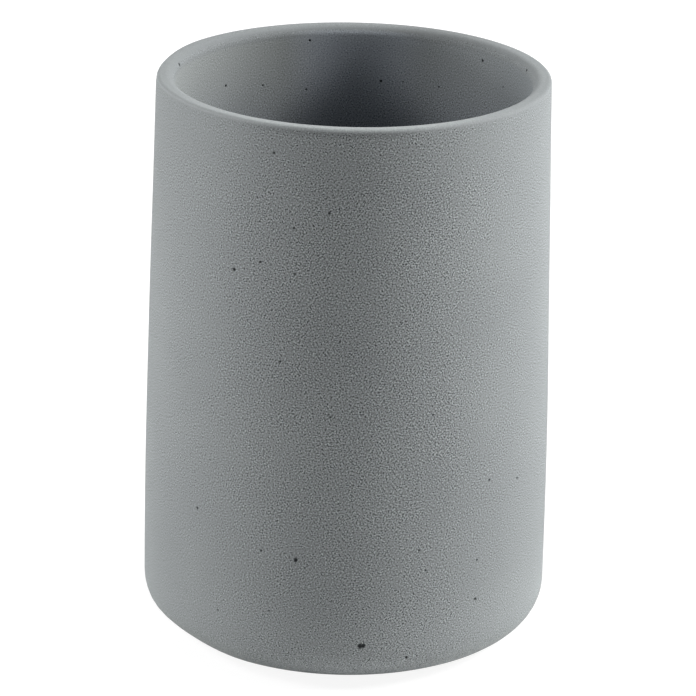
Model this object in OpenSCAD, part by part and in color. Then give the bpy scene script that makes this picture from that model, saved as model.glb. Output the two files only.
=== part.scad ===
// Bathroom tumbler cast in fine cement, with a non-slip pad under its foot.
// Millimetres. +Z is up, and the origin is the centre of the face that it stands on.

/* [Body] */
// Height from the surface that the tumbler stands on to the top of the rim
overall_h = 111.8; // [95:0.2:130]
// Widest outside diameter, just above the rounded base edge
belly_d = 80; // [60:0.5:100]
// How much narrower the mouth is than the belly, in diameter, as if the rim weren't rounded
mouth_narrowing = 4.4; // [1:0.2:12]
// Height above the body's underside where the curved lower wall becomes a straight taper
taper_start = 54.3; // [20:0.1:80]
// Radius of the rounded edge between the wall and the underside
base_edge_r = 7.8; // [3:0.1:12]

/* [Rim] */
// Thickness of the wall at the rim
rim_wall = 3.5; // [2.4:0.1:5]
// Small rounding of the rim's outer edge
rim_outer_r = 0.6; // [0.3:0.1:0.8]
// Wider rounding of the rim's inner edge, as a share of the wall's thickness
rim_inner_share = 0.54; // [0.2:0.02:0.6]

/* [Inside] */
// Thickness of the floor above the pad's recess
floor_t = 7; // [4:0.5:12]
// Rounding of the corner between the inner wall and the floor
floor_corner_r = 6; // [2:0.5:15]
// How much radius the inside loses for each unit of depth, so that the core draws out
core_draft_share = 0.014; // [0.005:0.001:0.03]

/* [Base pad] */
// Width of the flat cement ring between the rounded base edge and the pad's recess
foot_land = 3.3; // [1:0.1:12]
// Thickness of the rubber pad
pad_t = 2; // [1.7:0.1:4]
// How far the pad stands out below the cement
pad_proud = 1; // [0.3:0.1:1.4]
// Gap between the pad's edge and the wall of its recess
pad_gap = 0.4; // [0.1:0.1:1]
// Chamfer round the mouth of the pad's recess
recess_chamfer = 0.5; // [0.2:0.1:1]
// Thickness of the double-sided film that holds the pad
film_t = 0.15; // [0.05:0.05:0.4]
// How far the film's edge is set in from the pad's edge
film_inset = 0.5; // [0:0.1:3]

/* [Hidden] */
// Facets round the axis
$fn = 180;
// Straight runs that stand for each arc of the outline
arc_steps = 12;

// The foot is a flat cement ring, and inside it lies the recess for the pad
belly_r = belly_d / 2;
foot_r = belly_r - base_edge_r;
recess_r = foot_r - foot_land - recess_chamfer;

// The pad and the film fill the recess, and the pad's lower face is the resting face
pad_r = recess_r - pad_gap;
underside_z = pad_proud;
recess_top = pad_t + film_t;

// The wall stands upright where the base edge ends, bends in on one large arc, and then runs
// straight to the rim at the angle that the arc has reached
mouth_r = belly_r - mouth_narrowing / 2;
edge_top = underside_z + base_edge_r;
bend_h = taper_start - base_edge_r;
taper_h = overall_h - underside_z - taper_start;
taper_angle = 2 * atan((belly_r - mouth_r) / (bend_h + 2 * taper_h));
bend_r = bend_h / sin(taper_angle);

// The inside tapers the other way, and its two corners are tangent arcs
rim_inner_r = rim_wall * rim_inner_share;
core_angle = atan(core_draft_share);
floor_z = recess_top + floor_t;
floor_corner_z = floor_z + floor_corner_r;
bore_r = mouth_r - rim_wall;
corner_bore_r = bore_r - core_draft_share * (overall_h - floor_corner_z);

// Points on an arc round [r, z] from one angle to another, leaving out the first few
function arc(r, z, radius, from, to, skip = 0) =
    [for (i = [skip:arc_steps])
        let (a = from + (to - from) * i / arc_steps)
        [r + radius * cos(a), z + radius * sin(a)]];

// Half of the section through the axis: recess, base edge, outer wall, rim, inner wall, floor
function body_section() = concat(
    [
        [0, recess_top],
        [recess_r, recess_top],
        [recess_r, underside_z + recess_chamfer],
        [recess_r + recess_chamfer, underside_z]
    ],
    arc(foot_r, edge_top, base_edge_r, -90, 0),
    arc(belly_r - bend_r, edge_top, bend_r, 0, taper_angle, skip = 1),
    arc(mouth_r - rim_outer_r * tan(45 - taper_angle / 2), overall_h - rim_outer_r,
        rim_outer_r, taper_angle, 90),
    arc(bore_r + rim_inner_r * tan(45 - core_angle / 2), overall_h - rim_inner_r,
        rim_inner_r, 90, 180 - core_angle),
    arc(corner_bore_r - floor_corner_r / cos(core_angle), floor_corner_z,
        floor_corner_r, -core_angle, -90),
    [[0, floor_z]]
);

// The cement casting: wall, rim and floor in one pour
module tumbler_body() {
    color("#7c8484")
        rotate_extrude()
            polygon(body_section());
}

// The film between the recess and the pad
module pad_adhesive() {
    color("#d8d3c4")
        translate([0, 0, pad_t])
            cylinder(h = film_t, r = pad_r - film_inset);
}

// The die-cut rubber pad that the tumbler stands on
module base_pad() {
    color("#2f3031")
        cylinder(h = pad_t, r = pad_r);
}

tumbler_body();
pad_adhesive();
base_pad();
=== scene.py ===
# %% [markdown]
# # A cast cement bathroom tumbler
#
# The real tumbler is one pour of fine cement: a tapered cup with a rounded rim and a rounded base edge,
# and a rubber pad stuck into a shallow recess under its foot. The CAD model gives its sizes. This lesson
# gives it the looks: a cast surface with air pits in real geometry, the sandy grain of bare cement, and
# soft studio light from both sides.

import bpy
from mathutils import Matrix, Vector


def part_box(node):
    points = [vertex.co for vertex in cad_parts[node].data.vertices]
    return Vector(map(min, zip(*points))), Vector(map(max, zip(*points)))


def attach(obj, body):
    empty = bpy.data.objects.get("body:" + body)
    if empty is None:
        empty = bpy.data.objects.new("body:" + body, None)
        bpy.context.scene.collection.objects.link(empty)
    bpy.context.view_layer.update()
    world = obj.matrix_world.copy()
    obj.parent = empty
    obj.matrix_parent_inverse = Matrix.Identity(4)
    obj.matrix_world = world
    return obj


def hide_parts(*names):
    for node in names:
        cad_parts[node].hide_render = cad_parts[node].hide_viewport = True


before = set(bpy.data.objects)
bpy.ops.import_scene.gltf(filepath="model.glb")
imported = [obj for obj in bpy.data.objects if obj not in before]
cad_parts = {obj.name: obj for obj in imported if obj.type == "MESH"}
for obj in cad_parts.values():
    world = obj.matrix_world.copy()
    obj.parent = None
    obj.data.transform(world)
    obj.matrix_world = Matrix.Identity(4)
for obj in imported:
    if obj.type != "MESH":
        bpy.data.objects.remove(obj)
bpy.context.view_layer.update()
print("CAD nodes:", sorted(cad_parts))

# %% Modules and units
import math
import random

import bpy
import numpy as np
from mathutils import Matrix, Vector, noise
from mathutils.kdtree import KDTree

MM = 0.001
TAU = 2 * math.pi

# %% [markdown]
# ## Sizes
#
# The box of each CAD node gives the outer sizes, so the dressed tumbler can't drift from the CAD one. The
# smaller sizes, such as the rim's rounding, are the CAD model's own driving sizes, written once here.

# %% Sizes of the casting, its pad and its film
body_low, body_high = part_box("tumbler_body")
pad_low, pad_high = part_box("base_pad")
film_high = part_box("pad_adhesive")[1]

BELLY_R = body_high.x
UNDERSIDE_Z = body_low.z
TOP_Z = body_high.z
PAD_R = pad_high.x
RECESS_TOP = film_high.z

MOUTH_R = BELLY_R - 2.2 * MM
BASE_EDGE_R = 7.8 * MM
TAPER_START = 54.3 * MM
RIM_WALL = 3.5 * MM
RIM_OUTER_R = 0.6 * MM
RIM_INNER_SHARE = 0.54
FLOOR_T = 7 * MM
FLOOR_CORNER_R = 6 * MM
CORE_DRAFT_SHARE = 0.014
PAD_GAP = 0.4 * MM
RECESS_CHAMFER = 0.5 * MM

print("belly %.1f mm, mouth %.1f mm, height %.1f mm" % (BELLY_R * 2 / MM, MOUTH_R * 2 / MM, TOP_Z / MM))

# %% Sizes worked out from those
FOOT_R = BELLY_R - BASE_EDGE_R
EDGE_TOP = UNDERSIDE_Z + BASE_EDGE_R
TAPER_Z = UNDERSIDE_Z + TAPER_START
BEND_H = TAPER_Z - EDGE_TOP
TAPER_H = TOP_Z - TAPER_Z
TAPER_ANGLE = 2 * math.atan((BELLY_R - MOUTH_R) / (BEND_H + 2 * TAPER_H))
BEND_R = BEND_H / math.sin(TAPER_ANGLE)
RECESS_R = PAD_R + PAD_GAP

RIM_INNER_R = RIM_WALL * RIM_INNER_SHARE
CORE_ANGLE = math.atan(CORE_DRAFT_SHARE)
FLOOR_Z = RECESS_TOP + FLOOR_T
CORNER_Z = FLOOR_Z + FLOOR_CORNER_R
BORE_R = MOUTH_R - RIM_WALL
CORNER_R = BORE_R - CORE_DRAFT_SHARE * (TOP_Z - CORNER_Z)
RIM_OUTER_CENTRE = MOUTH_R - RIM_OUTER_R * math.tan((math.pi / 2 - TAPER_ANGLE) / 2)
RIM_INNER_CENTRE = BORE_R + RIM_INNER_R * math.tan((math.pi / 2 - CORE_ANGLE) / 2)

print("taper %.2f degrees, inside floor at %.1f mm" % (math.degrees(TAPER_ANGLE), FLOOR_Z / MM))


# %% Radii at a height
def outer_radius(z):
    """The outside's radius at a height, without the rim's rounding."""
    if z < EDGE_TOP:
        drop = min(EDGE_TOP - z, BASE_EDGE_R)
        return FOOT_R + math.sqrt(BASE_EDGE_R**2 - drop**2)
    if z < TAPER_Z:
        return BELLY_R - BEND_R + math.sqrt(BEND_R**2 - (z - EDGE_TOP) ** 2)
    return MOUTH_R + (TOP_Z - z) * math.tan(TAPER_ANGLE)


def bore_radius(z):
    """The inside's radius at a height, above the rounded corner of its floor."""
    return BORE_R - CORE_DRAFT_SHARE * (TOP_Z - z)


# %% [markdown]
# ## Camera
#
# The camera comes first, because the pits that the photograph shows are put on the casting by sending a
# ray through their pixels. Its place was worked out from the outline of the cup: how round its mouth
# looks gives the height of the eye, and how much its foot is curved more than its mouth gives the
# distance.

# %% Camera
PHOTO_SIDE = 696
FOCAL_PX = 3513
SENSOR = 36
EYE_DISTANCE = 691.1 * MM
EYE_ELEVATION = math.radians(20.32)
ROLL = math.radians(1.216)
AIM = Vector((-0.06 * MM, 0, UNDERSIDE_Z + 54.73 * MM))
NEAREST_SEEN = 10 * MM
FARTHEST_SEEN = 20

bpy.ops.object.camera_add()
camera = bpy.context.object
camera.name = "camera"
camera.data.sensor_width = SENSOR
camera.data.lens = SENSOR * FOCAL_PX / PHOTO_SIDE
camera.data.clip_start = NEAREST_SEEN
camera.data.clip_end = FARTHEST_SEEN
look = Matrix.Rotation(math.pi / 2 - EYE_ELEVATION, 4, "X") @ Matrix.Rotation(ROLL, 4, "Z")
backwards = look.to_3x3() @ Vector((0, 0, 1))
camera.matrix_world = Matrix.Translation(AIM + backwards * EYE_DISTANCE) @ look
bpy.context.scene.camera = camera
print("lens %.1f mm, eye at %s" % (camera.data.lens, tuple(round(v, 3) for v in camera.location)))


# %% A ray through a pixel
def pixel_ray(x, y):
    """The eye and the direction through a pixel of the photograph."""
    offset = Vector((x - PHOTO_SIDE / 2, PHOTO_SIDE / 2 - y, -FOCAL_PX))
    return camera.matrix_world.translation, (look.to_3x3() @ offset).normalized()


# %% [markdown]
# ## The casting's outline
#
# A potter's or caster's form is one outline turned round an axis. The outline is drawn here as one chain
# of edges, extruded point by point from a single vertex, and Spin turns it. A turned primitive such as a
# cylinder has its rings only at its ends, and this way each ring lies where the shape needs it, with the
# rings about as far apart as the columns, so that the surface can be refined evenly round each pit.

# %% Points of the outline
COLUMNS = 192
RING_GAP = TAU * BELLY_R / COLUMNS


def steps_for(length, gap):
    """How many steps of about a gap make up a length."""
    return max(1, round(length / gap))


def arc(centre_r, centre_z, radius, start, end, gap):
    """Points on an arc, without its first one."""
    count = steps_for(radius * abs(end - start), gap)
    turns = [start + (end - start) * i / count for i in range(1, count + 1)]
    return [(centre_r + radius * math.cos(t), centre_z + radius * math.sin(t)) for t in turns]


def line(start, end, gap):
    """Points on a straight run, without its first one."""
    count = steps_for(math.dist(start, end), gap)
    shares = [i / count for i in range(1, count + 1)]
    return [tuple(a + (b - a) * s for a, b in zip(start, end)) for s in shares]


# %% The outline, from the recess round the foot, wall and rim to the inside floor
RIM_GAP = 0.3 * MM
LAND_GAP = 1.1 * MM
HIDDEN_GAP = 4 * MM

outline = [(0, RECESS_TOP)]
outline += line(outline[-1], (RECESS_R, RECESS_TOP), HIDDEN_GAP)
outline += [(RECESS_R, UNDERSIDE_Z + RECESS_CHAMFER)]
outline += line(outline[-1], (RECESS_R + RECESS_CHAMFER, UNDERSIDE_Z), RECESS_CHAMFER / 2)
outline += line(outline[-1], (FOOT_R, UNDERSIDE_Z), LAND_GAP)
outline += arc(FOOT_R, EDGE_TOP, BASE_EDGE_R, -math.pi / 2, 0, LAND_GAP)
outline += arc(BELLY_R - BEND_R, EDGE_TOP, BEND_R, 0, TAPER_ANGLE, RING_GAP)
rim_start = (
    RIM_OUTER_CENTRE + RIM_OUTER_R * math.cos(TAPER_ANGLE),
    TOP_Z - RIM_OUTER_R + RIM_OUTER_R * math.sin(TAPER_ANGLE),
)
outline += line(outline[-1], rim_start, RING_GAP)
outline += arc(RIM_OUTER_CENTRE, TOP_Z - RIM_OUTER_R, RIM_OUTER_R, TAPER_ANGLE, math.pi / 2, RIM_GAP)
outline += line(outline[-1], (RIM_INNER_CENTRE, TOP_Z), RIM_GAP)
outline += arc(
    RIM_INNER_CENTRE, TOP_Z - RIM_INNER_R, RIM_INNER_R, math.pi / 2, math.pi - CORE_ANGLE, RIM_GAP
)
corner_centre = CORNER_R - FLOOR_CORNER_R / math.cos(CORE_ANGLE)
corner_top = (
    corner_centre + FLOOR_CORNER_R * math.cos(CORE_ANGLE),
    CORNER_Z - FLOOR_CORNER_R * math.sin(CORE_ANGLE),
)
outline += line(outline[-1], corner_top, RING_GAP)
outline += arc(corner_centre, CORNER_Z, FLOOR_CORNER_R, -CORE_ANGLE, -math.pi / 2, LAND_GAP)
outline += line(outline[-1], (0, FLOOR_Z), 2 * RING_GAP)
print("outline points:", len(outline))


# %% [markdown]
# ## Turning the outline
#
# Extruding one vertex and moving it draws an edge. Spin then copies the chain of edges round the axis.
# The first and last columns land on each other, and so do the points on the axis, so doubles are merged
# before the normals are made to point outwards.

# %% Helpers for selecting and turning
MERGE_GAP = 0.002 * MM


def select_only(piece):
    bpy.ops.object.select_all(action="DESELECT")
    piece.select_set(True)
    bpy.context.view_layer.objects.active = piece


def draw_chain(name, points):
    """An object that holds one chain of edges in the XZ plane. It starts as a plane merged to a point."""
    bpy.ops.object.select_all(action="DESELECT")
    bpy.ops.mesh.primitive_plane_add(size=RIM_WALL, location=(0, 0, 0))
    piece = bpy.context.object
    piece.name = name
    bpy.ops.object.mode_set(mode="EDIT")
    bpy.ops.mesh.merge(type="CENTER")
    place = Vector((0, 0, 0))
    for i, (r, z) in enumerate(points):
        move = Vector((r, 0, z)) - place
        if i == 0:
            bpy.ops.transform.translate(value=move)
        else:
            bpy.ops.mesh.extrude_vertices_move(TRANSFORM_OT_translate={"value": move})
        place += move
    return piece


def turn_chain(columns):
    """Spins the chain in edit mode once round the Z axis and closes its seam and poles."""
    bpy.ops.mesh.select_all(action="SELECT")
    bpy.ops.mesh.spin(steps=columns, angle=TAU, center=(0, 0, 0), axis=(0, 0, 1))
    bpy.ops.mesh.select_all(action="SELECT")
    bpy.ops.mesh.remove_doubles(threshold=MERGE_GAP)
    bpy.ops.mesh.normals_make_consistent(inside=False)
    bpy.ops.object.mode_set(mode="OBJECT")


# %% Turn the casting
casting = draw_chain("cement_casting", outline)
turn_chain(COLUMNS)
print("casting:", len(casting.data.vertices), "vertices,", len(casting.data.polygons), "faces")

# %% [markdown]
# ## Air pits
#
# Air bubbles that meet the mould leave small round pits in cast cement. Their dark holes are what tells
# the eye that this isn't plastic, so they are made in the mesh and not only painted. The ones that the
# photograph shows are placed by pixel: a ray from the eye finds the spot on the casting. The others are
# scattered by a seeded generator over the sides that the photograph doesn't show.

# %% Pits that the photograph shows, as pixel and width
PITS_OUTSIDE_PX = [
    (360, 646.3, 1.02),
    (363.3, 645.8, 0.86),
    (295.6, 560, 0.86),
    (234.3, 269.3, 0.7),
    (329.3, 213.3, 0.55),
    (475.3, 599, 0.55),
    (489.3, 480, 0.54),
    (406.5, 657.3, 0.6),
    (294, 228, 0.5),
    (280.3, 361.5, 0.5),
    (197.3, 508, 0.53),
    (261, 550.5, 0.5),
    (433, 415, 0.46),
    (274, 153, 0.5),
    (425.5, 570.5, 0.45),
    (400.5, 322.5, 0.4),
    (260.5, 262, 0.5),
    (330.3, 417.5, 0.5),
    (517, 478, 0.52),
    (419, 550.5, 0.48),
    (340, 342, 0.45),
    (295, 274, 0.42),
    (269, 611, 0.4),
    (218, 610, 0.4),
    (477, 560, 0.46),
]
PITS_INSIDE_PX = [
    (179.5, 64.5, 0.75),
    (225.7, 86, 0.55),
    (262.7, 85.5, 0.45),
    (306, 89.5, 0.45),
    (309.7, 40.5, 0.48),
    (381, 81.3, 0.6),
    (403, 82, 0.35),
    (439, 87, 0.4),
    (482.5, 60.7, 0.6),
    (526.5, 70.5, 0.6),
    (503, 87, 0.4),
]
print("pits to place:", len(PITS_OUTSIDE_PX), "outside and", len(PITS_INSIDE_PX), "inside")

# %% Find the casting's surface behind those pixels
SEED = 7
rng = random.Random(SEED)
bpy.context.view_layer.update()
pits = []
for x, y, width in PITS_OUTSIDE_PX + PITS_INSIDE_PX:
    eye, direction = pixel_ray(x, y)
    hit, place, normal, _ = casting.ray_cast(eye, direction)
    if hit:
        pits.append((place, normal, width * MM / 2))
print("pits in view:", len(pits), "of", len(PITS_OUTSIDE_PX) + len(PITS_INSIDE_PX))


# %% Pits on the sides that it doesn't show
HIDDEN_OUTSIDE = 46
HIDDEN_INSIDE = 44
FLOOR_PITS = 12
LAND_PITS = 7
SEEN_HALF_ANGLE = math.radians(85)
SEEN_DEPTH = 28 * MM
OFF_FOOT = 5 * MM
OFF_RIM = 3 * MM
OFF_CORNER = 2 * MM
OFF_RECESS = 1.4 * MM
SMALL_PIT = 0.16 * MM
PIT_SPREAD = 0.48


def scattered_radius():
    """Mostly small pits, and a few large ones."""
    return SMALL_PIT * math.exp(abs(rng.gauss(0, PIT_SPREAD)))


def wall_point(turn, z, radius, inwards):
    """A place on a wall at an angle from the front and a height, and its normal."""
    out = Vector((math.sin(turn), -math.cos(turn), 0))
    return out * radius + Vector((0, 0, z)), -out if inwards else out


for _ in range(HIDDEN_OUTSIDE):
    turn = rng.uniform(SEEN_HALF_ANGLE, TAU - SEEN_HALF_ANGLE)
    z = rng.uniform(UNDERSIDE_Z + OFF_FOOT, TOP_Z - OFF_RIM)
    pits.append((*wall_point(turn, z, outer_radius(z), False), scattered_radius()))
for _ in range(HIDDEN_INSIDE):
    turn = rng.uniform(0, TAU)
    z = rng.uniform(CORNER_Z + OFF_CORNER, TOP_Z - SEEN_DEPTH)
    pits.append((*wall_point(turn, z, bore_radius(z), True), scattered_radius()))
for _ in range(FLOOR_PITS):
    turn, share = rng.uniform(0, TAU), rng.uniform(0, 1)
    away = Vector((math.sin(turn), math.cos(turn), 0)) * math.sqrt(share) * (CORNER_R - FLOOR_CORNER_R)
    pits.append((away + Vector((0, 0, FLOOR_Z)), Vector((0, 0, 1)), scattered_radius()))
for _ in range(LAND_PITS):
    turn, away = rng.uniform(0, TAU), rng.uniform(RECESS_R + OFF_RECESS, FOOT_R)
    place = Vector((away * math.sin(turn), away * math.cos(turn), UNDERSIDE_Z))
    pits.append((place, Vector((0, 0, -1)), scattered_radius()))
print("pits in all:", len(pits))

# %% [markdown]
# A pit is smaller than one face of the turned mesh. So the faces near each pit are subdivided a few
# times, each time in a smaller circle, and the rest of the casting stays light. Subdividing all of it as
# finely would take millions of faces.

# %% Refine the mesh near the pits
REFINE_MARGINS = [1.5 * MM, 0.85 * MM, 0.45 * MM, 0.2 * MM]


def centres(mesh):
    values = np.empty(len(mesh.polygons) * 3)
    mesh.polygons.foreach_get("center", values)
    return values.reshape(-1, 3)


def near_pits(points, margin):
    """True for each point that is within a margin of some pit's edge."""
    found = np.zeros(len(points), bool)
    for place, _, radius in pits:
        found |= np.linalg.norm(points - np.array(place), axis=1) < radius + margin
    return found


for margin in REFINE_MARGINS:
    select_only(casting)
    bpy.ops.object.mode_set(mode="EDIT")
    bpy.ops.mesh.select_mode(type="FACE")
    bpy.ops.mesh.select_all(action="DESELECT")
    bpy.ops.object.mode_set(mode="OBJECT")
    casting.data.polygons.foreach_set("select", near_pits(centres(casting.data), margin))
    bpy.ops.object.mode_set(mode="EDIT")
    bpy.ops.mesh.subdivide(number_cuts=1)
    bpy.ops.object.mode_set(mode="OBJECT")
    print("refined to", len(casting.data.polygons), "faces")

# %% [markdown]
# A cut face stays flat, so the new vertices first go back onto the true round surface. Then each vertex
# inside a pit's circle is pushed into the cement along the pit's own normal. The depth follows a hollow
# ball, whose side is steepest at its edge, and the circle is bent a little by noise, because real bubbles
# aren't perfectly round. An attribute remembers how deep each vertex went, for the material to darken.

# %% Put the new vertices on the round surface
FLAT_FOOT = 0.2 * MM
WALL_SKIN = MM

mesh = casting.data


def read_places():
    values = np.empty(len(mesh.vertices) * 3)
    mesh.vertices.foreach_get("co", values)
    return values.reshape(-1, 3)


def true_place(p):
    """The place on the true outside or inside wall that a cut vertex belongs to."""
    r = math.hypot(p[0], p[1])
    z = p[2]
    if z > TOP_Z - RIM_INNER_R or z < UNDERSIDE_Z + FLAT_FOOT:
        return p
    if r < outer_radius(z) - WALL_SKIN:
        wanted = bore_radius(z) if z > CORNER_Z else r
    elif z < EDGE_TOP:
        away = math.hypot(r - FOOT_R, z - EDGE_TOP)
        wanted = FOOT_R + (r - FOOT_R) * BASE_EDGE_R / away
        z = EDGE_TOP + (z - EDGE_TOP) * BASE_EDGE_R / away
    else:
        wanted = outer_radius(z)
    return np.array([p[0] * wanted / r, p[1] * wanted / r, z])


places = read_places()
tree = KDTree(len(places))
for i, place in enumerate(places):
    tree.insert(place, i)
tree.balance()
for place, _, radius in pits:
    for _, i, _ in tree.find_range(place, radius + 2 * REFINE_MARGINS[0]):
        places[i] = true_place(places[i])
print("vertices:", len(places))

# %% Push the pits in
PIT_DEPTH_SHARE = 0.9
PIT_WOBBLE = 0.22
PIT_BENDS = 1.4
BEND_SPAN = 9

pit_shade = np.zeros(len(places))
for place, normal, radius in pits:
    bend = Vector([rng.uniform(0, BEND_SPAN) for _ in range(3)])
    for _, i, away in tree.find_range(place, radius * (1 + PIT_WOBBLE)):
        side = (Vector(places[i]) - place).normalized()
        reach = radius * (1 + PIT_WOBBLE * noise.noise(side * PIT_BENDS + bend))
        share = max(0, 1 - (away / reach) ** 2)
        hollow = math.sqrt(share)
        if hollow > pit_shade[i]:
            places[i] -= np.array(normal) * radius * PIT_DEPTH_SHARE * (hollow - pit_shade[i])
            pit_shade[i] = hollow
print("vertices pushed in:", np.count_nonzero(pit_shade))

# %% [markdown]
# A cast wall is never perfectly true, and its edges wear. The surface is moved in and out by a few
# hundredths of a millimetre in slow waves. At the left, where the photograph shows it, the base edge is
# rubbed a little flatter and the outer edge of the rim is worn down by a third of a millimetre. Each of
# the two fades out round the cup and away from its edge, so that no step shows.

# %% Sizes of the waves and of the wear
WAVE_H = 0.06 * MM
WAVE_LENGTH = 30 * MM

RUBBED_TURN = math.radians(-54)
RUBBED_HALF_ANGLE = math.radians(26)
RUBBED_DEPTH = 0.62 * MM
RUBBED_LIFT_SHARE = 0.6
RUBBED_Z = UNDERSIDE_Z + 2.2 * MM
RUBBED_REACH = 3 * MM
RUBBED_LAND = 2 * MM

WORN_TURN = math.radians(-99)
WORN_HALF_ANGLE = math.radians(26)
WORN_DEPTH = 0.36 * MM
WORN_REACH = 1.2 * MM


def fade_round(p, turn, half_angle):
    """1 at a turn from the front, and smoothly 0 at a half angle to either side of it."""
    away = abs(math.atan2(p[0], -p[1]) - turn)
    return math.cos(away / half_angle * math.pi / 2) ** 2 if away < half_angle else 0


# %% Slow waves, the rubbed base edge and the worn rim
before = places.copy()
for i, p in enumerate(places):
    out = Vector((p[0], p[1], 0)).normalized()
    if p[2] > RECESS_TOP:
        places[i] += np.array(out) * WAVE_H * noise.noise(Vector(p) / WAVE_LENGTH)
    r = math.hypot(p[0], p[1])
    if p[2] < EDGE_TOP and r > FOOT_R - RUBBED_LAND:
        fade = fade_round(p, RUBBED_TURN, RUBBED_HALF_ANGLE)
        fade *= math.exp(-(((p[2] - RUBBED_Z) / RUBBED_REACH) ** 2))
        lean = Vector((r - FOOT_R, p[2] - EDGE_TOP)).normalized()
        push = out * lean.x + Vector((0, 0, lean.y)) * RUBBED_LIFT_SHARE
        places[i] -= np.array(push) * RUBBED_DEPTH * fade
    away = math.hypot(r - MOUTH_R, p[2] - TOP_Z)
    if away < 3 * WORN_REACH:
        fade = fade_round(p, WORN_TURN, WORN_HALF_ANGLE) * math.exp(-((away / WORN_REACH) ** 2))
        places[i] -= np.array((out + Vector((0, 0, 1))).normalized()) * WORN_DEPTH * fade
print("farthest moved: %.2f mm" % (np.linalg.norm(places - before, axis=1).max() / MM))

# %% Write the places and smooth the casting
CASTING_CREASE = math.radians(50)

mesh.vertices.foreach_set("co", places.ravel())
shade = mesh.attributes.new("pit", "FLOAT", "POINT")
shade.data.foreach_set("value", pit_shade)
mesh.update()

select_only(casting)
bpy.ops.object.shade_smooth_by_angle(angle=CASTING_CREASE)
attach(casting, "root")
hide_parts("tumbler_body")
print("casting triangles:", sum(len(p.vertices) - 2 for p in mesh.polygons))

# %% [markdown]
# ## Rubber pad
#
# Under the foot a disc of rubber, punched from a sheet, lies in the casting's recess and stands a
# millimetre proud of it. A punch leaves a nearly sharp edge, with a side that is a little hollow at half
# its height, because the sheet gives way under the tool. So the disc gets a cut at half its height that
# is drawn in, and very small bevels. Rings inset into its two faces keep them from being one wide facet.

# %% Punch the pad
PAD_T = pad_high.z - pad_low.z
WAIST_SHARE = 0.997
PUNCH_ROUND = 0.12 * MM
FACE_RING = 4 * MM
FACE_RINGS = 5
PAD_CREASE = math.radians(40)
FLAT_ENOUGH = 0.99

bpy.ops.object.select_all(action="DESELECT")
bpy.ops.mesh.primitive_cylinder_add(
    vertices=COLUMNS, radius=PAD_R, depth=PAD_T, location=(0, 0, pad_low.z + PAD_T / 2)
)
pad = bpy.context.object
pad.name = "rubber_pad"
bpy.ops.object.transform_apply(location=True, rotation=True, scale=True)
bpy.ops.object.mode_set(mode="EDIT")
bpy.ops.mesh.select_all(action="SELECT")
bpy.ops.mesh.bisect(plane_co=(0, 0, pad_low.z + PAD_T / 2), plane_no=(0, 0, 1))
bpy.ops.transform.resize(
    value=(WAIST_SHARE, WAIST_SHARE, 1), center_override=(0, 0, pad_low.z + PAD_T / 2)
)
bpy.ops.object.mode_set(mode="OBJECT")
print("punched pad:", len(pad.data.vertices), "vertices in three rings")


# %% Round its edges and divide its faces
def select_flat_faces(piece):
    """Selects the faces that look straight up or down, and leaves the piece in edit mode."""
    bpy.ops.object.mode_set(mode="EDIT")
    bpy.ops.mesh.select_mode(type="FACE")
    bpy.ops.mesh.select_all(action="DESELECT")
    bpy.ops.object.mode_set(mode="OBJECT")
    for face in piece.data.polygons:
        face.select = abs(face.normal.z) > FLAT_ENOUGH
    bpy.ops.object.mode_set(mode="EDIT")


select_flat_faces(pad)
bpy.ops.mesh.region_to_loop()
bpy.ops.mesh.bevel(offset=PUNCH_ROUND, segments=3, affect="EDGES")
bpy.ops.object.mode_set(mode="OBJECT")
select_flat_faces(pad)
for _ in range(FACE_RINGS):
    bpy.ops.mesh.inset(thickness=FACE_RING, depth=0, use_individual=False)
bpy.ops.mesh.poke()
bpy.ops.object.mode_set(mode="OBJECT")
select_only(pad)
bpy.ops.object.shade_smooth_by_angle(angle=PAD_CREASE)
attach(pad, "root")
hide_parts("base_pad")
print("pad:", len(pad.data.polygons), "faces, box", [round(v / MM, 2) for v in pad.dimensions])

# %% [markdown]
# ## Writing materials as sums
#
# A material's pattern is a sum of noises, masks and tones. Written as Python expressions it reads like
# one. The class below wraps a socket, and each operator adds the Math node that does that sum. Every
# other node comes from one method, which sets the node's own settings first and then its sockets.

# %% A small language for materials
class Shade:
    """A socket whose value arithmetic can be written with."""

    def __init__(self, owner, socket):
        self.owner = owner
        self.socket = socket

    def sum(self, operation, left, right):
        return self.owner.node("ShaderNodeMath", {"operation": operation}, {0: left, 1: right})

    def __add__(self, other):
        return self.sum("ADD", self, other)

    def __sub__(self, other):
        return self.sum("SUBTRACT", self, other)

    def __rsub__(self, other):
        return self.sum("SUBTRACT", other, self)

    def __mul__(self, other):
        return self.sum("MULTIPLY", self, other)

    __radd__ = __add__
    __rmul__ = __mul__

    def __pow__(self, other):
        return self.sum("POWER", self, other)

    def over(self, low, high):
        """0 below low, 1 above high, and smooth between them."""
        settings = {"interpolation_type": "SMOOTHSTEP"}
        return self.owner.node(
            "ShaderNodeMapRange", settings, {"Value": self, "From Min": low, "From Max": high}
        )


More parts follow.
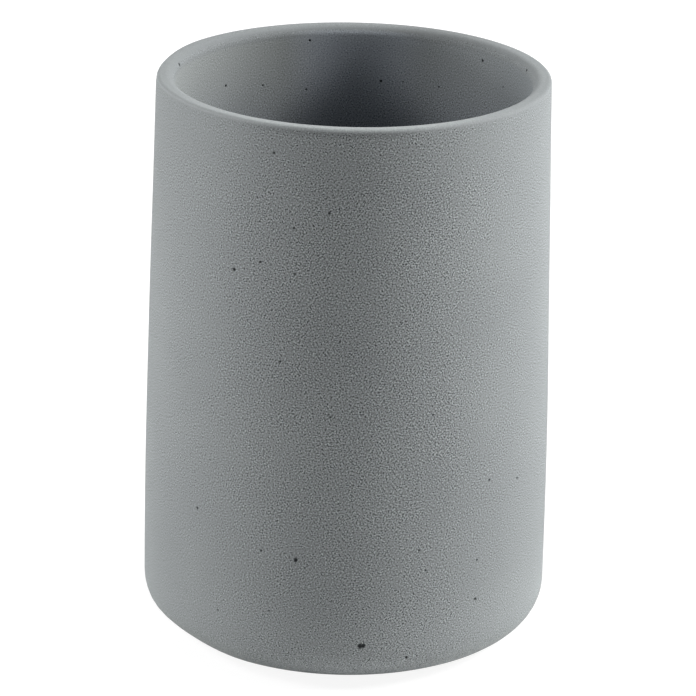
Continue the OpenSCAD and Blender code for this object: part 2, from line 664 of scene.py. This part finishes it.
# %% A material made with it
class Finish:
    """A material that is made node by node."""

    def __init__(self, name):
        self.material = bpy.data.materials.new(name)
        self.material.use_nodes = True
        self.tree = self.material.node_tree
        self.tree.nodes.clear()

    def node(self, kind, settings=None, sockets=None, output=None):
        """Adds a node, sets its settings and then its sockets, and gives the output asked for."""
        made = self.tree.nodes.new(kind)
        for name, value in (settings or {}).items():
            setattr(made, name, value)
        for name, value in (sockets or {}).items():
            if isinstance(name, int):
                socket = made.inputs[name]
            else:
                socket = next(s for s in made.inputs if s.name == name and s.enabled)
            if isinstance(value, Shade):
                self.tree.links.new(value.socket, socket)
            else:
                socket.default_value = value
        outputs = [s for s in made.outputs if s.enabled and output in (None, s.name)]
        return Shade(self, outputs[0]) if outputs else None

    def place(self):
        """The place on the piece, in metres."""
        return self.node("ShaderNodeTexCoord", output="Object")

    def along(self, axis):
        """The place along one axis."""
        return self.node("ShaderNodeSeparateXYZ", {}, {"Vector": self.place()}, axis)

    def noise(self, size, detail=2, roughness=0.5):
        """Noise whose blots are about as wide as size."""
        sockets = {"Vector": self.place(), "Scale": 1 / size, "Detail": detail, "Roughness": roughness}
        return self.node("ShaderNodeTexNoise", {}, sockets, "Fac")

    def cells(self, where, size, output):
        """Cells about as wide as size. Color is a random one for each, Distance the way to its middle."""
        sockets = {"Vector": where, "Scale": 1 / size, "Randomness": 1.0}
        return self.node("ShaderNodeTexVoronoi", {"feature": "F1"}, sockets, output)

    def red(self, colour):
        """The red share of a colour, as a plain number."""
        return self.node("ShaderNodeSeparateColor", {}, {"Color": colour}, "Red")

    def vector(self, operation, first, second=None, scale=None):
        """A Vector Math node, for sums of places and directions."""
        sockets = {0: first, 1: second, 3: scale}
        given = {i: value for i, value in sockets.items() if value is not None}
        return self.node("ShaderNodeVectorMath", {"operation": operation}, given)

    def blend(self, factor, first, second, mode="MIX"):
        """The second colour over the first."""
        settings = {"data_type": "RGBA", "blend_type": mode}
        return self.node("ShaderNodeMix", settings, {"Factor": factor, "A": first, "B": second})

    def filtered(self, colour, factor, none, full):
        """A colour times another one, which goes from none to full as the factor goes from 0 to 1."""
        return self.blend(1.0, colour, self.blend(factor, none, full), "MULTIPLY")

    def bump(self, height, depth):
        """A normal that makes a height look as if it were real."""
        sockets = {"Strength": 1.0, "Distance": depth, "Height": height}
        return self.node("ShaderNodeBump", {}, sockets, "Normal")

    def close(self, **sockets):
        """Closes the material with a principled shader, whose sockets are given by name."""
        named = {name.replace("_", " "): value for name, value in sockets.items()}
        surface = self.node("ShaderNodeBsdfPrincipled", {}, named)
        self.node("ShaderNodeOutputMaterial", {}, {"Surface": surface})
        print("material", self.material.name, "has", len(self.tree.nodes), "nodes")
        return self.material


# %% [markdown]
# ## Cement
#
# Fine cement has no gloss, and its grey isn't one flat colour. Very faint clouds a few centimetres wide
# come from the way the wet mix settled, and a fine mottle lies over them. Both are noise on the piece's
# own coordinates, which needs no image and leaves no seam on a round body.

# %% Cement's own tones
CEMENT = (0.243, 0.259, 0.262, 1)
CEMENT_PALE = (0.256, 0.273, 0.275, 1)
CEMENT_DAMP = (0.230, 0.245, 0.249, 1)
CLOUD = 26 * MM
MOTTLE = 2.6 * MM
CLOUD_RANGE = (0.25, 0.75)
MOTTLE_RANGE = (0.3, 0.7)
MOTTLE_SHARE = 0.35

cement = Finish("cast_cement")
clouds = cement.noise(CLOUD, detail=3)
mottle = cement.noise(MOTTLE, detail=3, roughness=0.6)
tone = cement.blend(clouds.over(*CLOUD_RANGE), CEMENT_DAMP, CEMENT_PALE)
tone = cement.blend(mottle.over(*MOTTLE_RANGE) * MOTTLE_SHARE, tone, CEMENT)
print("nodes for the cement's own tones:", len(cement.tree.nodes))

# %% [markdown]
# The tones that follow belong to places on the cup. Each place is a product of masks along an axis, and
# a mask is written as the two values between which it goes from nothing to full. Below the rim they are
# depths, above the foot heights, along X places from left to right, and along Y shares of the radius.

# %% Masks by place
x, y, z = [cement.along(axis) for axis in "XYZ"]


def under_rim(start, full):
    """0 where it is deeper below the rim than start, and 1 where it is less deep than full."""
    return z.over(TOP_Z - start, TOP_Z - full)


def over_foot(start, full):
    """0 where it is lower above the underside than start, and 1 where it is higher than full."""
    return z.over(UNDERSIDE_Z + start, UNDERSIDE_Z + full)


def square_share(along):
    """The square of a place along an axis, as a share of the belly's radius squared."""
    return along * along * (1 / BELLY_R**2)


# %% [markdown]
# The inside was cast against a core. Its tone is painted shade and painted light: painted darker and
# bluer deep in the cup, where shade falls, painted paler high at the back, where light falls in, painted
# shade on its right side, and a little less of the blue on its left. Towards the rounded edge of the rim
# it turns into the outside's grey, at the back nearer to the top than elsewhere. The mask that tells
# inside from outside is the distance to the inner wall's slanted line.

# %% Painted shade and painted light inside the cup
# painted shade deep in the cup and on its right, painted light high at the back and at its rim
DEEP_PAINTED_SHADE = (0.132, 0.146, 0.172, 1)
INSIDE_TOP = (0.268, 0.287, 0.295, 1)
BACK_PAINTED_LIGHT = (0.350, 0.377, 0.420, 1)
BACK_RIM_PAINTED_LIGHT = (0.375, 0.403, 0.440, 1)
PLAIN = (1, 1, 1, 1)
LIT_LEFT_TINT = (1.01, 1.0, 0.96, 1)
RIGHT_PAINTED_SHADE = (0.82, 0.83, 0.84, 1)
INSIDE_SHADING_SHARE = 0.85

WALL_SKIN_DEPTH = (0.3 * MM, 1.5 * MM)
FLOOR_SKIN_DEPTH = (2 * MM, 3 * MM)
BACK_OF_CORE = (0.9, 1.0)
SHADE_DEPTH = (30 * MM, 2 * MM)
BACK_LIGHT_DEPTH = (4.5 * MM, 1.6 * MM)
EDGE_DEPTH = (2.6 * MM, 1.4 * MM)
BACK_EDGE_DEPTH = (1.3 * MM, 0.5 * MM)
RIGHT_OF_WARM = (-16 * MM, -5 * MM)
RIGHT_IN_SHADE = (24 * MM, 34 * MM)

from_axis = (x * x + y * y) ** 0.5
past_wall = from_axis - z * CORE_DRAFT_SHARE - (BORE_R - CORE_DRAFT_SHARE * TOP_Z)
over_recess = z.over(*[RECESS_TOP + depth for depth in FLOOR_SKIN_DEPTH])
inside = (1 - past_wall.over(*WALL_SKIN_DEPTH)) * over_recess
outside = 1 - inside

at_back = (y * (1 / BORE_R)).over(*BACK_OF_CORE)
# the inside's tone: painted shade with depth and on the right, painted light at the back
inside_shading = cement.blend(at_back, INSIDE_TOP, BACK_PAINTED_LIGHT)
inside_shading = cement.blend(under_rim(*SHADE_DEPTH), DEEP_PAINTED_SHADE, inside_shading)
inside_shading = cement.blend(under_rim(*BACK_LIGHT_DEPTH) * at_back, inside_shading, BACK_RIM_PAINTED_LIGHT)
inside_shading = cement.filtered(inside_shading, 1 - x.over(*RIGHT_OF_WARM), PLAIN, LIT_LEFT_TINT)
inside_shading = cement.filtered(inside_shading, x.over(*RIGHT_IN_SHADE), PLAIN, RIGHT_PAINTED_SHADE)
round_edge = under_rim(*EDGE_DEPTH) * (1 - at_back) + under_rim(*BACK_EDGE_DEPTH) * at_back
inside_shading = cement.blend(round_edge, inside_shading, CEMENT_DAMP)
tone = cement.blend(inside * INSIDE_SHADING_SHARE, tone, inside_shading)
print("nodes with the core's side:", len(cement.tree.nodes))

# %% [markdown]
# The rim and the foot carry painted light and painted shade in their colour. The front of the lip gets a
# painted highlight, and the base edge at both sides is painted paler, as painted light from the floor.
# The line under the lip and the back of the rim get painted shade, and the wall gets painted shade at its
# upper left and painted light near the foot.

# %% The rim
# painted shade under the lip and at the back of the rim, and a painted highlight on the front of the lip
UNDER_LIP_PAINTED_SHADE = (0.208, 0.222, 0.225, 1)
LIP_PAINTED_HIGHLIGHT = (0.332, 0.353, 0.354, 1)
RIM_BACK_PAINTED_SHADE = (0.193, 0.205, 0.207, 1)
LIP_HIGHLIGHT_SHARE = 0.75
HIGHLIGHT_LOSS_RIGHT = 0.6
BACK_SHARE_LEFT = 0.3

LIP_DEPTH = (0.8 * MM, 0.3 * MM)
UNDER_LIP_DEPTH = (2 * MM, 1 * MM)
UNDER_LIP_MIDDLE = -4 * MM
OFF_UNDER_LIP = (0.03, 0.2)
FRONT_OF_LIP = (0.05, 0.9)
RIGHT_OF_HIGHLIGHT = (12 * MM, 28 * MM)
RIM_BACK_DEPTH = (1.4 * MM, 0.5 * MM)
BACK_OF_RIM = (0.45, 0.85)
RIGHT_AT_BACK = (4 * MM, 14 * MM)

lip = under_rim(*LIP_DEPTH)
# painted shade under the lip, on the outside only
under_lip_shade = under_rim(*UNDER_LIP_DEPTH) * (1 - lip) * outside
under_lip_shade = under_lip_shade * (1 - square_share(x - UNDER_LIP_MIDDLE).over(*OFF_UNDER_LIP))
tone = cement.blend(under_lip_shade, tone, UNDER_LIP_PAINTED_SHADE)

# painted highlight on the front of the lip, weaker towards the right
lip_highlight = lip * (y * (-1 / BELLY_R)).over(*FRONT_OF_LIP)
lip_highlight = lip_highlight * (1 - HIGHLIGHT_LOSS_RIGHT * x.over(*RIGHT_OF_HIGHLIGHT))
tone = cement.blend(lip_highlight * LIP_HIGHLIGHT_SHARE, tone, LIP_PAINTED_HIGHLIGHT)

# painted shade at the back of the rim, weaker at the left
rim_back_shade = under_rim(*RIM_BACK_DEPTH) * (y * (1 / BELLY_R)).over(*BACK_OF_RIM)
rim_back_shade = rim_back_shade * (BACK_SHARE_LEFT + (1 - BACK_SHARE_LEFT) * x.over(*RIGHT_AT_BACK))
tone = cement.blend(rim_back_shade, tone, RIM_BACK_PAINTED_SHADE)
print("nodes with the rim:", len(cement.tree.nodes))

# %% The wall and the foot
# painted light near the foot and on the base edge at both sides, painted shade at the upper left
FOOT_PAINTED_LIGHT = (0.292, 0.311, 0.313, 1)
UPPER_LEFT_PAINTED_SHADE = (0.200, 0.213, 0.216, 1)
BASE_PAINTED_LIGHT = (0.340, 0.360, 0.357, 1)
FOOT_LIGHT_SHARE = 0.6
UPPER_LEFT_SHADE_SHARE = 0.7
BASE_SHARE_FRONT = 0.05
BASE_SHARE_SIDES = 0.8

FOOT_HEIGHT = (3 * MM, 22 * MM)
UPPER_LEFT_DEPTH = (60 * MM, 3 * MM)
RIGHT_OF_DARK = (-38 * MM, -22 * MM)
BASE_HEIGHT = (0.5 * MM, BASE_EDGE_R)
SIDES_OF_BASE = (0, 0.3)

# painted light near the foot, as from the floor
tone = cement.blend((1 - over_foot(*FOOT_HEIGHT)) * FOOT_LIGHT_SHARE * outside, tone, FOOT_PAINTED_LIGHT)
# painted shade at the wall's upper left
upper_left_shade = (1 - x.over(*RIGHT_OF_DARK)) * under_rim(*UPPER_LEFT_DEPTH) * outside * (1 - lip)
tone = cement.blend(upper_left_shade * UPPER_LEFT_SHADE_SHARE, tone, UPPER_LEFT_PAINTED_SHADE)
# painted light on the base edge at both sides, as from the floor
base_share = BASE_SHARE_FRONT + BASE_SHARE_SIDES * square_share(x).over(*SIDES_OF_BASE)
tone = cement.blend((1 - over_foot(*BASE_HEIGHT)) * base_share, tone, BASE_PAINTED_LIGHT)
print("nodes with the wall and foot:", len(cement.tree.nodes))

# %% [markdown]
# Two kinds of dark spot break the surface. About a quarter of the cells of a coarse cell pattern hold a
# small grain of dark sand at their middle. The pits get painted shade, darker the deeper they go, because
# little light gets into them.

# %% Sand and pits
SAND_DARK = (0.120, 0.130, 0.132, 1)
PIT_PAINTED_SHADE = (0.050, 0.054, 0.056, 1)
SAND_CELL = 1.9 * MM
SAND_EDGE = (0.05, 0.13)
SAND_PICKED = (0.72, 0.74)
SAND_SHARE = 0.45
PIT_FADE = (0.1, 0.8)

near_middle = 1 - cement.cells(cement.place(), SAND_CELL, "Distance").over(*SAND_EDGE)
picked = cement.red(cement.cells(cement.place(), SAND_CELL, "Color")).over(*SAND_PICKED)
tone = cement.blend(near_middle * picked * SAND_SHARE, tone, SAND_DARK)
# the pits' darkening with depth is painted shade
pit = cement.node("ShaderNodeAttribute", {"attribute_name": "pit"}, {}, "Fac")
tone = cement.blend(pit.over(*PIT_FADE), tone, PIT_PAINTED_SHADE)
print("nodes with sand and pits:", len(cement.tree.nodes))

# %% [markdown]
# Over all of this lies the grain, like fine sandpaper, a sixth of a millimetre from grain to grain. A
# noise is too soft for it. Cells have sharp edges, but several dark ones often lie together and make
# blots. So each grain's random tone loses the mean tone of six neighbours round it on the surface, and
# only what is as fine as a grain is left. The tones are cubed first, so that most grains hardly differ
# and a few stand out, as in real sand, and the gain stretches the cubes back to their full range.

# %% Grain
GRAIN = 0.17 * MM
NEIGHBOURS = 6
NEIGHBOUR_AWAY = 0.3 * MM
NEIGHBOUR_SHARE = 0.9
GREY = 0.5
CUBE_GAIN = 4
UP = Vector((0, 0, 1))


def grain_tone(step):
    """The random tone of the grain that lies a step away, mostly near zero and seldom far from it."""
    colours = cement.cells(cement.vector("ADD", cement.place(), step), GRAIN, "Color")
    off_grey = cement.red(colours) - GREY
    return off_grey * off_grey * off_grey * CUBE_GAIN


round_it = cement.vector("NORMALIZE", cement.vector("CROSS_PRODUCT", UP, cement.place()))
neighbours = 0
for i in range(NEIGHBOURS):
    turn = TAU * i / NEIGHBOURS
    sideways = cement.vector("SCALE", round_it, scale=NEIGHBOUR_AWAY * math.sin(turn))
    upwards = UP * NEIGHBOUR_AWAY * math.cos(turn)
    neighbours = neighbours + grain_tone(cement.vector("ADD", sideways, upwards))
grain = grain_tone(Vector((0, 0, 0))) - neighbours * (NEIGHBOUR_SHARE / NEIGHBOURS)
print("nodes with the grain:", len(cement.tree.nodes))

# %% [markdown]
# The grain isn't equally strong all over. It comes in soft patches. It is weaker inside, where it was
# pressed against the core, at the rim and towards the foot, where it is rubbed off, and at the two
# sides, where the light falls straight onto it. In the pits there is none. It shows mostly as colour,
# with only a trace of relief, because a relief so fine would sparkle.

# %% Where the grain is strong
GRAIN_LEFT, GRAIN_RIGHT = 0.93, 1.12
LEFT_TO_RIGHT = (-16 * MM, 6 * MM)
PATCH = 7 * MM
PATCH_RANGE = (0.3, 0.6)

# share of the grain that is lost, and where
LOSSES = [
    (0.25, 1 - cement.noise(PATCH).over(*PATCH_RANGE)),
    (0.55, inside),
    (0.75, under_rim(1 * MM, 0.5 * MM)),
    (0.35, under_rim(16 * MM, 5 * MM)),
    (0.40, 1 - over_foot(0.5 * MM, 45 * MM)),
    (0.60, 1 - over_foot(0.5 * MM, 5 * MM)),
    (0.45, square_share(x).over(0.05, 0.5) * outside),
    (1.00, pit),
]

strength = GRAIN_LEFT + (GRAIN_RIGHT - GRAIN_LEFT) * x.over(*LEFT_TO_RIGHT)
for share, where in LOSSES:
    strength = strength * (1 - share * where)
grain = grain * strength
print("places where the grain is weaker:", len(LOSSES))

# %% Close the cement
GRAIN_CONTRAST = 1.65
GRAIN_DARK = (0.1, 0.1, 0.1, 1)
GRAIN_PALE = (1.9, 1.9, 1.9, 1)
GRAIN_DEPTH = 0.03 * MM
MOTTLE_RELIEF = 0.08
CEMENT_ROUGH, CEMENT_ROUGH_SPREAD = 0.86, 0.12

tone = cement.filtered(tone, grain * GRAIN_CONTRAST + GREY, GRAIN_DARK, GRAIN_PALE)
cement_finish = cement.close(
    Base_Color=tone,
    Roughness=CEMENT_ROUGH + CEMENT_ROUGH_SPREAD * mottle,
    Normal=cement.bump(grain + MOTTLE_RELIEF * mottle, GRAIN_DEPTH),
    IOR=1.45,
    Specular_IOR_Level=0.3,
)


# %% Give a piece its finish
def dress(piece, finish):
    piece.data.materials.clear()
    piece.data.materials.append(finish)


dress(casting, cement_finish)

# %% [markdown]
# ## Rubber and adhesive film
#
# The pad is black rubber sheet, with the fine pebble that a rolled sheet has and a trace of pale dust in
# it. The film between pad and cement hardly shows, only its edge in the recess: a cloudy, yellowish
# adhesive on a clear carrier.

# %% Rubber
RUBBER = (0.028, 0.029, 0.030, 1)
RUBBER_DUSTY = (0.060, 0.061, 0.062, 1)
PEBBLE = 0.5 * MM
PEBBLE_DEPTH = 0.05 * MM
DUST = 3.2 * MM
DUST_RANGE = (0.45, 0.75)
DUST_SHARE = 0.6
RUBBER_ROUGH, RUBBER_ROUGH_SPREAD = 0.62, 0.2

rubber = Finish("rubber_sheet")
pebble = rubber.noise(PEBBLE, detail=2, roughness=0.55)
dusty = rubber.noise(DUST, detail=4, roughness=0.65).over(*DUST_RANGE)
rubber_finish = rubber.close(
    Base_Color=rubber.blend(dusty * DUST_SHARE, RUBBER, RUBBER_DUSTY),
    Roughness=RUBBER_ROUGH + RUBBER_ROUGH_SPREAD * dusty,
    Normal=rubber.bump(pebble, PEBBLE_DEPTH),
)
dress(pad, rubber_finish)

# %% Adhesive film
FILM_CLEAR = (0.62, 0.59, 0.48, 1)
FILM_CLOUDY = (0.70, 0.67, 0.58, 1)
FILM_CLOUD = 1.8 * MM
FILM_CLOUD_RANGE = (0.3, 0.7)
FILM_RIPPLE = 0.01 * MM
FILM_ROUGH, FILM_ROUGH_SPREAD = 0.35, 0.2

film = Finish("film_adhesive")
cloudy = film.noise(FILM_CLOUD, detail=3)
film_finish = film.close(
    Base_Color=film.blend(cloudy.over(*FILM_CLOUD_RANGE), FILM_CLEAR, FILM_CLOUDY),
    Roughness=FILM_ROUGH + FILM_ROUGH_SPREAD * cloudy,
    Normal=film.bump(cloudy, FILM_RIPPLE),
)
dress(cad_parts["pad_adhesive"], film_finish)

# %% [markdown]
# ## Floor and background
#
# The photograph is cut out on pure white. The floor and the world are white to the camera through Light
# Path, so that no lamp has to be turned up for it, and the floor keeps a light trace of the tumbler's
# shadow. Seen from below the floor is clear, so that the foot can be looked at.

# %% Floor
FLOOR_HALF = 3
FLOOR_DROP = 0.05 * MM
FLOOR_PALE = (0.80, 0.80, 0.80, 1)
SHADOW_TRACE = (0.18, 0.18, 0.18, 1)
FLOOR_GLOW = (0.9, 0.9, 0.9, 1)
WHITE = (1, 1, 1, 1)
NEAR_FLOOR = 0.2
FAR_FLOOR = 0.5
FLOOR_ROUGH = 0.9

bpy.ops.object.select_all(action="DESELECT")
bpy.ops.mesh.primitive_plane_add(size=2 * FLOOR_HALF, location=(0, 0, pad_low.z - FLOOR_DROP))
floor = bpy.context.object
floor.name = "studio_floor"

white = Finish("studio_floor")
seen = white.node("ShaderNodeLightPath", output="Is Camera Ray")
mirrored = white.node("ShaderNodeLightPath", output="Is Glossy Ray")
through = white.node("ShaderNodeLightPath", output="Is Transmission Ray")
plain = white.node("ShaderNodeBsdfPrincipled", {}, {"Base Color": FLOOR_PALE, "Roughness": FLOOR_ROUGH})
floor_x, floor_y = white.along("X"), white.along("Y")
far = (floor_x * floor_x + floor_y * floor_y).over(NEAR_FLOOR**2, FAR_FLOOR**2)
bright = white.node(
    "ShaderNodeBsdfPrincipled",
    {},
    {
        "Base Color": SHADOW_TRACE,
        "Roughness": 1.0,
        "Specular IOR Level": 0.0,
        "Emission Color": white.blend(far, FLOOR_GLOW, WHITE),
        "Emission Strength": 1.0,
    },
)
direct = seen + mirrored + through
look_of_it = white.node("ShaderNodeMixShader", {}, {0: direct, 1: plain, 2: bright})
behind = white.node("ShaderNodeNewGeometry", output="Backfacing")
clear = white.node("ShaderNodeBsdfTransparent")
both = white.node("ShaderNodeMixShader", {}, {0: behind * seen, 1: look_of_it, 2: clear})
white.node("ShaderNodeOutputMaterial", {}, {"Surface": both})
dress(floor, white.material)
print("floor %.0f m wide, %.2f mm under the pad" % (2 * FLOOR_HALF, FLOOR_DROP / MM))

# %% World
SKY = (0.99, 1.0, 1.02, 1)
SKY_STRENGTH = 0.062

world = bpy.data.worlds.new("studio")
bpy.context.scene.world = world
world.use_nodes = True
air = Finish("studio")
air.tree = world.node_tree
air.tree.nodes.clear()
dim = air.node("ShaderNodeBackground", {}, {"Color": SKY, "Strength": SKY_STRENGTH})
pure = air.node("ShaderNodeBackground", {}, {"Color": WHITE, "Strength": 1.0})
eye_ray = air.node("ShaderNodeLightPath", output="Is Camera Ray")
gloss_ray = air.node("ShaderNodeLightPath", output="Is Glossy Ray")
clear_ray = air.node("ShaderNodeLightPath", output="Is Transmission Ray")
sky = air.node("ShaderNodeMixShader", {}, {0: eye_ray + gloss_ray + clear_ray, 1: dim, 2: pure})
air.node("ShaderNodeOutputWorld", {}, {"Surface": sky})
print("world strength on the object:", SKY_STRENGTH)

# %% [markdown]
# ## Light
#
# The cup is brightest at its two sides and darkest a little left of its middle. So nearly all of its
# light comes from soft boxes at the sides: on each side a main one that stands higher than the cup, and a
# low one that keeps the lower wall bright. The right side has a third a little behind it, for the bright
# edge there. A weak box overhead lifts the flat of the rim, and there is none in front.

# %% Soft boxes
BOX_DISTANCE = 1.2
BOX_SIDE = 0.36
CUP_MIDDLE = Vector((0, 0, TOP_Z / 2))

# name, turn from the front and height over the cup's middle in degrees, and power in watts
SOFT_BOXES = [
    ("right_box", 90, 35, 14.1),
    ("right_back_box", 120, 35, 7),
    ("right_low_box", 105, 4, 3),
    ("top_box", 0, 90, 2),
    ("left_box", -90, 35, 8.4),
    ("left_low_box", -105, 4, 7.8),
]

for name, turn, rise, power in SOFT_BOXES:
    turn, rise = math.radians(turn), math.radians(rise)
    away = Vector((math.sin(turn) * math.cos(rise), -math.cos(turn) * math.cos(rise), math.sin(rise)))
    bpy.ops.object.light_add(type="AREA", location=CUP_MIDDLE + away * BOX_DISTANCE)
    lamp = bpy.context.object
    lamp.name = name
    lamp.rotation_euler = away.to_track_quat("Z", "Y").to_euler()
    lamp.data.shape = "SQUARE"
    lamp.data.size = BOX_SIDE
    lamp.data.energy = power
bpy.context.scene.view_settings.view_transform = "Standard"
print("soft boxes:", len(SOFT_BOXES))
